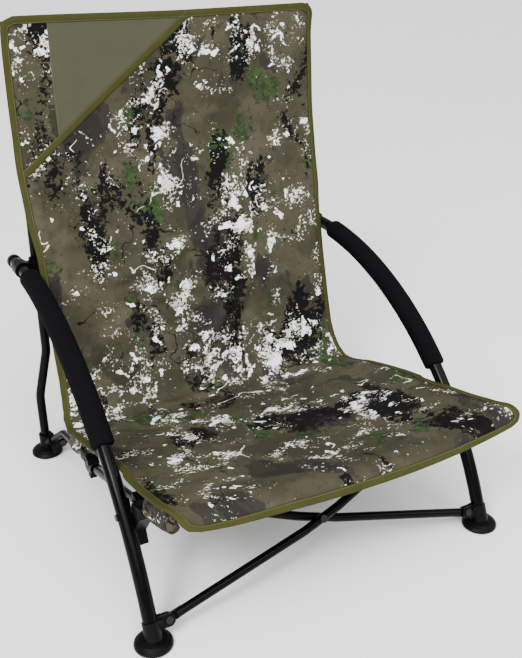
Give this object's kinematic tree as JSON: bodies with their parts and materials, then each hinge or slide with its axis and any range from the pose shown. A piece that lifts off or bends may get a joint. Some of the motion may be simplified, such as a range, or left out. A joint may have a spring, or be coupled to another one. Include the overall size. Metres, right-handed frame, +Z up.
{
  "type": "folding sling chair",
  "caption": "Low folding sling chair on tube side frames with foam arm grips, disc feet, crossed braces and a one-piece fabric back and seat.",
  "frame": {"origin": "on the ground, at the middle of the open chair's width and depth", "axes": "+Z up, the sitter faces -Y, +X is to the viewer's right when facing the chair"},
  "size_m": [0.586, 0.635, 0.712],
  "materials": {
    "frame_paint": "semi-gloss black powder coat",
    "moulding": "satin black moulded plastic",
    "foam": "matte black closed-cell foam",
    "camo_fabric": "woven polyester with a printed leaf-litter camouflage",
    "patch_fabric": "plain khaki woven polyester",
    "rivet_steel": "black zinc rivets and pins"
  },
  "bodies": {
    "left_frame": {"left_arm_tube": "frame_paint", "left_foam_grip": "foam", "left_arm_end_cap": "moulding", "left_arm_knuckle": "moulding", "left_rear_post": "frame_paint", "left_post_cap": "moulding", "left_front_foot": "moulding", "left_rear_foot": "moulding", "left_front_foot_pin": "rivet_steel", "left_rear_foot_pin": "rivet_steel", "left_rail_rear_tube": "frame_paint", "left_rail_front_tube": "frame_paint", "left_rail_knuckle": "moulding", "left_rail_knuckle_rivet": "rivet_steel", "left_leg_bracket": "moulding", "left_bracket_rivet": "rivet_steel", "left_top_pocket": "camo_fabric", "left_front_pocket": "camo_fabric", "left_rail_tab": "camo_fabric", "sling_back": "camo_fabric", "sling_seat": "camo_fabric", "corner_patch": "patch_fabric"},
    "right_frame": {"right_arm_tube": "frame_paint", "right_foam_grip": "foam", "right_arm_end_cap": "moulding", "right_arm_knuckle": "moulding", "right_rear_post": "frame_paint", "right_post_cap": "moulding", "right_front_foot": "moulding", "right_rear_foot": "moulding", "right_front_foot_pin": "rivet_steel", "right_rear_foot_pin": "rivet_steel", "right_rail_rear_tube": "frame_paint", "right_rail_front_tube": "frame_paint", "right_rail_knuckle": "moulding", "right_rail_knuckle_rivet": "rivet_steel", "right_leg_bracket": "moulding", "right_bracket_rivet": "rivet_steel", "right_top_pocket": "camo_fabric", "right_front_pocket": "camo_fabric", "right_rail_tab": "camo_fabric"},
    "front_brace_a": {"front_brace_a": "frame_paint", "front_cross_rivet": "rivet_steel"},
    "front_brace_b": {"front_brace_b": "frame_paint"},
    "rear_brace_a": {"rear_brace_a": "frame_paint", "rear_cross_rivet": "rivet_steel"},
    "rear_brace_b": {"rear_brace_b": "frame_paint"},
    "front_hub_left": {"left_front_hub": "moulding", "left_front_hub_pin": "rivet_steel"},
    "front_hub_right": {"right_front_hub": "moulding", "right_front_hub_pin": "rivet_steel"},
    "rear_hub_left": {"left_rear_hub": "moulding", "left_rear_hub_pin": "rivet_steel"},
    "rear_hub_right": {"right_rear_hub": "moulding", "right_rear_hub_pin": "rivet_steel"}
  },
  "joints": [
    {"name": "fold", "type": "hinge", "parent": "left_frame", "child": "front_brace_a", "pos_m": [-0.243, -0.25, 0.028], "axis": [0, -0.9033, 0.4289], "range_deg": [0, 64], "deforming": ["sling_back", "sling_seat", "corner_patch"]},
    {"name": "front_cross_pivot", "type": "hinge", "parent": "front_brace_a", "child": "front_brace_b", "pos_m": [0, -0.22263, 0.08563], "axis": [0, -0.9033, 0.4289], "range_deg": [-128, 0]},
    {"name": "right_foot_pivot", "type": "hinge", "parent": "front_brace_b", "child": "right_frame", "pos_m": [0.243, -0.25, 0.028], "axis": [0, -0.9033, 0.4289], "range_deg": [0, 64]},
    {"name": "front_hub_right_pivot", "type": "hinge", "parent": "front_brace_a", "child": "front_hub_right", "pos_m": [0.222, -0.18497, 0.16495], "axis": [0, -0.9033, 0.4289], "range_deg": [-64, 0]},
    {"name": "front_hub_left_pivot", "type": "hinge", "parent": "front_brace_b", "child": "front_hub_left", "pos_m": [-0.222, -0.18497, 0.16495], "axis": [0, -0.9033, 0.4289], "range_deg": [0, 64]},
    {"name": "rear_left_foot_pivot", "type": "hinge", "parent": "left_frame", "child": "rear_brace_a", "pos_m": [-0.243, 0.236, 0.028], "axis": [0, -1, 0], "range_deg": [0, 64]},
    {"name": "rear_cross_pivot", "type": "hinge", "parent": "rear_brace_a", "child": "rear_brace_b", "pos_m": [0, 0.236, 0.0918], "axis": [0, -1, 0], "range_deg": [-128, 0]},
    {"name": "rear_hub_right_pivot", "type": "hinge", "parent": "rear_brace_a", "child": "rear_hub_right", "pos_m": [0.222, 0.236, 0.1796], "axis": [0, -1, 0], "range_deg": [-64, 0]},
    {"name": "rear_hub_left_pivot", "type": "hinge", "parent": "rear_brace_b", "child": "rear_hub_left", "pos_m": [-0.222, 0.236, 0.1796], "axis": [0, -1, 0], "range_deg": [0, 64]}
  ],
  "couplings": [
    {"joint": "front_cross_pivot", "follows": "fold", "ratio": -2},
    {"joint": "right_foot_pivot", "follows": "fold", "ratio": 1},
    {"joint": "front_hub_right_pivot", "follows": "fold", "ratio": -1},
    {"joint": "front_hub_left_pivot", "follows": "fold", "ratio": 1},
    {"joint": "rear_left_foot_pivot", "follows": "fold", "ratio": 1},
    {"joint": "rear_cross_pivot", "follows": "fold", "ratio": -2},
    {"joint": "rear_hub_right_pivot", "follows": "fold", "ratio": -1},
    {"joint": "rear_hub_left_pivot", "follows": "fold", "ratio": 1}
  ]
}
